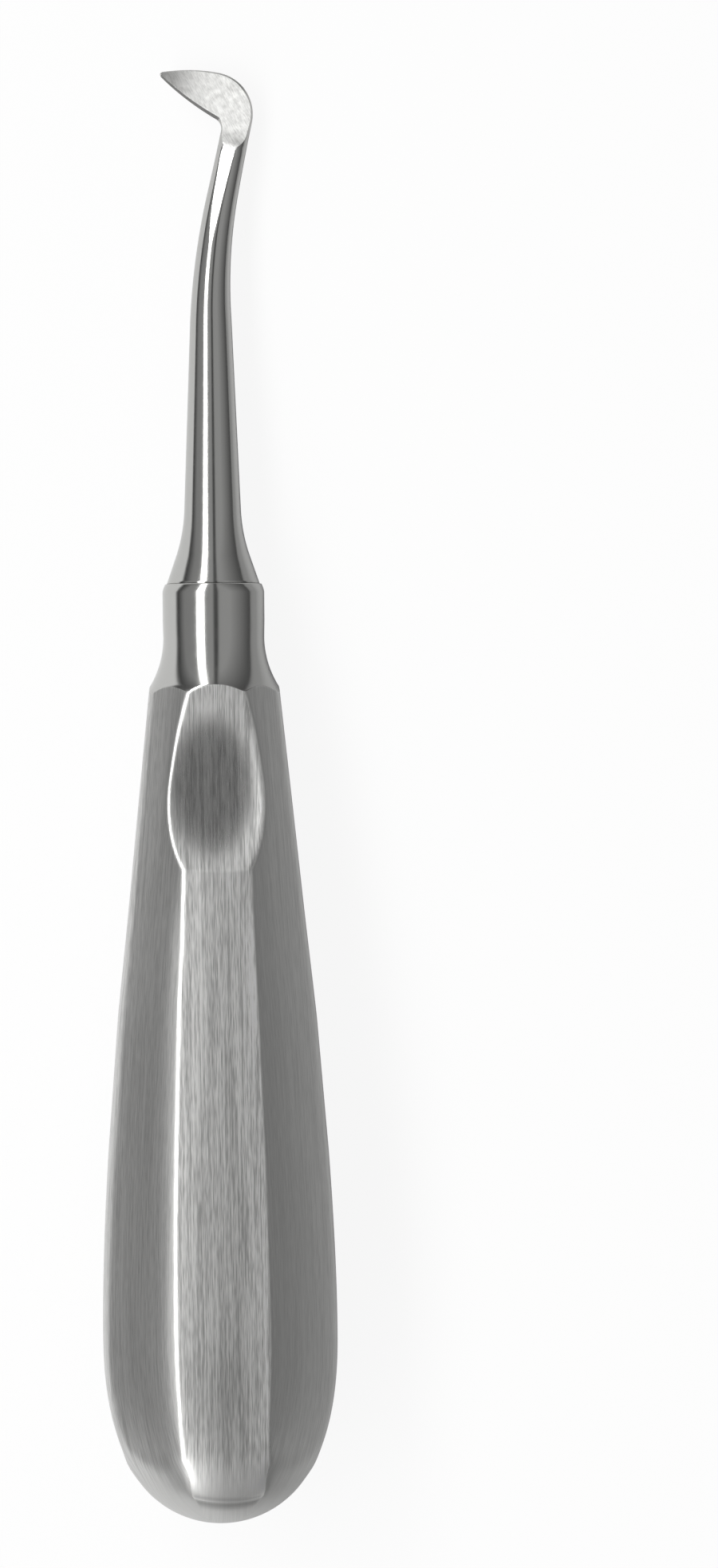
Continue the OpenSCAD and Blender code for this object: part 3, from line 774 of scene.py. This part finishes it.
def ground_steel():
    """Hardened steel, polished on the shank and matt on the blade's face, where grinding left slanting
    scratches. They are drawn 0.1 mm wide, coarser than the real ones, among patches under 1 mm."""
    made, tree, out = material("ground_steel")
    position = node(tree, "ShaderNodeTexCoord").outputs["Object"]
    face = node(tree, "ShaderNodeAttribute", attribute_name="ground").outputs["Fac"]
    slanting = node(tree, "ShaderNodeMapping", {"Vector": position, "Rotation": (0, 0, np.radians(-30))})
    stretched = node(tree, "ShaderNodeMapping", {
        "Vector": slanting.outputs[0], "Scale": (9000, 1400, 1400)})
    scratch = node(tree, "ShaderNodeTexNoise", {"Vector": stretched.outputs[0], "Scale": 1, "Detail": 3})
    patches = node(tree, "ShaderNodeTexNoise", {"Vector": position, "Scale": 1500, "Detail": 3})
    marks = node(tree, "ShaderNodeMix", {0: 0.45, 2: scratch.outputs[0], 3: patches.outputs[0]})
    spots = node(tree, "ShaderNodeTexNoise", {"Vector": position, "Scale": MILLIMETRE_SPOTS, "Detail": 4})
    smooth = node(tree, "ShaderNodeMapRange", {0: spots.outputs[0], 1: 0.3, 2: 0.7, 3: 0.12, 4: 0.15})
    matt = node(tree, "ShaderNodeMapRange", {0: marks.outputs[0], 1: 0.3, 2: 0.7, 3: 0.5, 4: 0.36})
    rough = node(tree, "ShaderNodeMix", {0: face, 2: smooth.outputs[0], 3: matt.outputs[0]})
    tone = node(tree, "ShaderNodeMapRange", {0: marks.outputs[0], 1: 0.3, 2: 0.7, 3: 0, 4: 1})
    marked = node(tree, "ShaderNodeMix", {
        0: tone.outputs[0], 6: linear("#B4B4B2"), 7: linear("#F4F4F2")}, data_type="RGBA")
    colour = node(tree, "ShaderNodeMix", {
        0: face, 6: linear(POLISHED), 7: marked.outputs[2]}, data_type="RGBA")
    steel = node(tree, "ShaderNodeBsdfPrincipled", {
        "Base Color": colour.outputs[2], "Metallic": 1, "Roughness": rough.outputs[0]})
    tree.links.new(steel.outputs[0], out.inputs[0])
    return made


working_end.data.materials.append(ground_steel())
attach(working_end, "root")
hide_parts("blade_shank")

# Setting. A white table under soft studio light: one long soft box at the upper left, and a grey
# room overhead that darkens towards the horizon, as polished steel shows it.
TABLE_HALF = 6
bpy.ops.mesh.primitive_plane_add(size=2 * TABLE_HALF, location=(0, 0, 0))
table = bpy.context.active_object
table.name = "table"


def white_table():
    """Matt white paper that shows nearly pure white to the eye and keeps the object's shadow. Steel
    mirrors it with painted shade: half as light to the right of the object, out of the lamp's light, and
    fading within 16 cm to the left."""
    made, tree, out = material("white_table")
    path = node(tree, "ShaderNodeLightPath")
    mirrored = node(tree, "ShaderNodeMath", {
        0: path.outputs["Is Glossy Ray"], 1: path.outputs["Is Transmission Ray"]}, operation="MAXIMUM")
    mirrored = node(tree, "ShaderNodeMath", {0: mirrored.outputs[0], 1: 0.05}, operation="MULTIPLY")
    seen = node(tree, "ShaderNodeMath", {
        0: path.outputs["Is Camera Ray"], 1: 0.9, 2: mirrored.outputs[0]}, operation="MULTIPLY_ADD")
    position = node(tree, "ShaderNodeTexCoord").outputs["Object"]
    across = node(tree, "ShaderNodeSeparateXYZ", {0: position}).outputs["X"]
    # Painted shade in what steel mirrors: darker to the right of the object and far to the left
    to_right = node(tree, "ShaderNodeMapRange", {0: across, 1: -0.005, 2: 0.03, 3: 0.95, 4: 0.45})
    to_left = node(tree, "ShaderNodeMapRange", {
        0: across, 1: -0.16, 2: -0.06, 3: 0.17, 4: 1}, interpolation_type="SMOOTHSTEP")
    mirrored_shade = node(tree, "ShaderNodeMath", {
        0: to_right.outputs[0], 1: to_left.outputs[0]}, operation="MULTIPLY")
    tone = node(tree, "ShaderNodeMix", {0: path.outputs["Is Glossy Ray"], 2: 1, 3: mirrored_shade.outputs[0]})
    paper = node(tree, "ShaderNodeMix", {
        0: tone.outputs[0], 6: (0, 0, 0, 1), 7: linear("#F0F0F0")}, data_type="RGBA")
    matt = node(tree, "ShaderNodeBsdfDiffuse", {"Color": paper.outputs[2]})
    white = node(tree, "ShaderNodeEmission", {"Color": (1, 1, 1, 1), "Strength": 1})
    both = node(tree, "ShaderNodeMixShader", {0: seen.outputs[0], 1: matt.outputs[0], 2: white.outputs[0]})
    tree.links.new(both.outputs[0], out.inputs[0])
    return made


table.data.materials.append(white_table())


def studio_room():
    """The room as steel mirrors it: grey overhead and dark at the horizon, from higher up on the right
    than on the left, with a dark gap overhead just right of upright. The eye sees it white."""
    made = bpy.data.worlds.new("studio_room")
    made.use_nodes = True
    tree = made.node_tree
    tree.nodes.clear()
    direction = node(tree, "ShaderNodeTexCoord").outputs["Generated"]
    axes = node(tree, "ShaderNodeSeparateXYZ", {0: direction}).outputs
    full_at = node(tree, "ShaderNodeMapRange", {0: axes["X"], 1: -0.6, 2: 0.7, 3: 0.32, 4: 0.85})
    climb = node(tree, "ShaderNodeMath", {
        0: axes["Z"], 1: full_at.outputs[0]}, operation="DIVIDE", use_clamp=True)
    climb = node(tree, "ShaderNodeMath", {0: climb.outputs[0], 1: 1.15}, operation="POWER")
    low = node(tree, "ShaderNodeMapRange", {0: axes["X"], 1: -0.5, 2: 0.8, 3: 0.05, 4: 0.09})
    high = node(tree, "ShaderNodeMapRange", {0: axes["X"], 1: -0.5, 2: 0.1, 3: 0.31, 4: 0.42})
    room = node(tree, "ShaderNodeMix", {0: climb.outputs[0], 2: low.outputs[0], 3: high.outputs[0]})
    lean = node(tree, "ShaderNodeMath", {0: axes["X"], 1: axes["Z"]}, operation="DIVIDE")
    away = node(tree, "ShaderNodeMath", {0: lean.outputs[0], 1: 0.07}, operation="SUBTRACT")
    away = node(tree, "ShaderNodeMath", {0: away.outputs[0]}, operation="ABSOLUTE")
    dark_gap = node(tree, "ShaderNodeMapRange", {0: away.outputs[0], 1: 0.06, 2: 0.13, 3: 0.2, 4: 1})
    room = node(tree, "ShaderNodeMath", {0: room.outputs[0], 1: dark_gap.outputs[0]}, operation="MULTIPLY")
    seen = node(tree, "ShaderNodeLightPath").outputs["Is Camera Ray"]
    grey = node(tree, "ShaderNodeBackground", {"Color": (1, 1, 1, 1), "Strength": room.outputs[0]})
    white = node(tree, "ShaderNodeBackground", {"Color": (1, 1, 1, 1), "Strength": 1})
    both = node(tree, "ShaderNodeMixShader", {0: seen, 1: grey.outputs[0], 2: white.outputs[0]})
    node(tree, "ShaderNodeOutputWorld", {0: both.outputs[0]})
    return made


bpy.context.scene.world = studio_room()


def soft_box(name, tilt, distance, width, length, radiance):
    """A rectangular lamp over the object, tilted to the left of straight up by an angle in degrees. Its
    distance and size are in metres, and its power follows from the radiance that its face shows."""
    lamp = bpy.data.lights.new(name, "AREA")
    lamp.shape = "RECTANGLE"
    lamp.size, lamp.size_y = width, length
    lamp.energy = radiance * np.pi * width * length
    made = bpy.data.objects.new(name, lamp)
    a = np.radians(tilt)
    made.location = (-distance * np.sin(a), 0, distance * np.cos(a))
    made.rotation_euler = (0, -a, 0)
    made.visible_camera = False
    bpy.context.scene.collection.objects.link(made)


soft_box("soft_box_left", tilt=31, distance=0.6, width=0.17, length=3, radiance=5.8)

# The camera looks square at the instrument's axis, from a little to its left, and from so far away that
# it hardly shows perspective. The picture's height takes in FRAME_HEIGHT millimetres, and its middle is
# at AIM_U along the axis and AIM_X to its right
LENS = 200
ROLL = np.radians(0.53)
FROM_LEFT = np.radians(2.35)
FRAME_HEIGHT = 164.28
AIM_U, AIM_X = 77.41, 15.07
camera = bpy.data.objects.new("camera", bpy.data.cameras.new("camera"))
camera.data.lens = LENS
camera.data.clip_end = 100
bpy.context.scene.collection.objects.link(camera)
bpy.context.scene.camera = camera
camera_distance = FRAME_HEIGHT / 2 / (camera.data.sensor_width / 2 / LENS)
level = np.array([np.cos(FROM_LEFT), 0, np.sin(FROM_LEFT)])
towards_camera = np.array([-np.sin(FROM_LEFT), 0, np.cos(FROM_LEFT)])
picture_right = np.cos(ROLL) * level - np.sin(ROLL) * np.array([0, 1, 0])
picture_up = np.sin(ROLL) * level + np.cos(ROLL) * np.array([0, 1, 0])
aim = np.array([0, AIM_U, 0]) + AIM_X * picture_right
eye = lay([aim + camera_distance * towards_camera])[0] + shift
camera_axes = lay([picture_right, picture_up, towards_camera]) * 1000
camera_turn = Matrix(camera_axes.T.tolist()).to_4x4()
camera.matrix_world = Matrix.Translation(Vector(eye)) @ camera_turn

bpy.context.scene.view_settings.view_transform = "Standard"
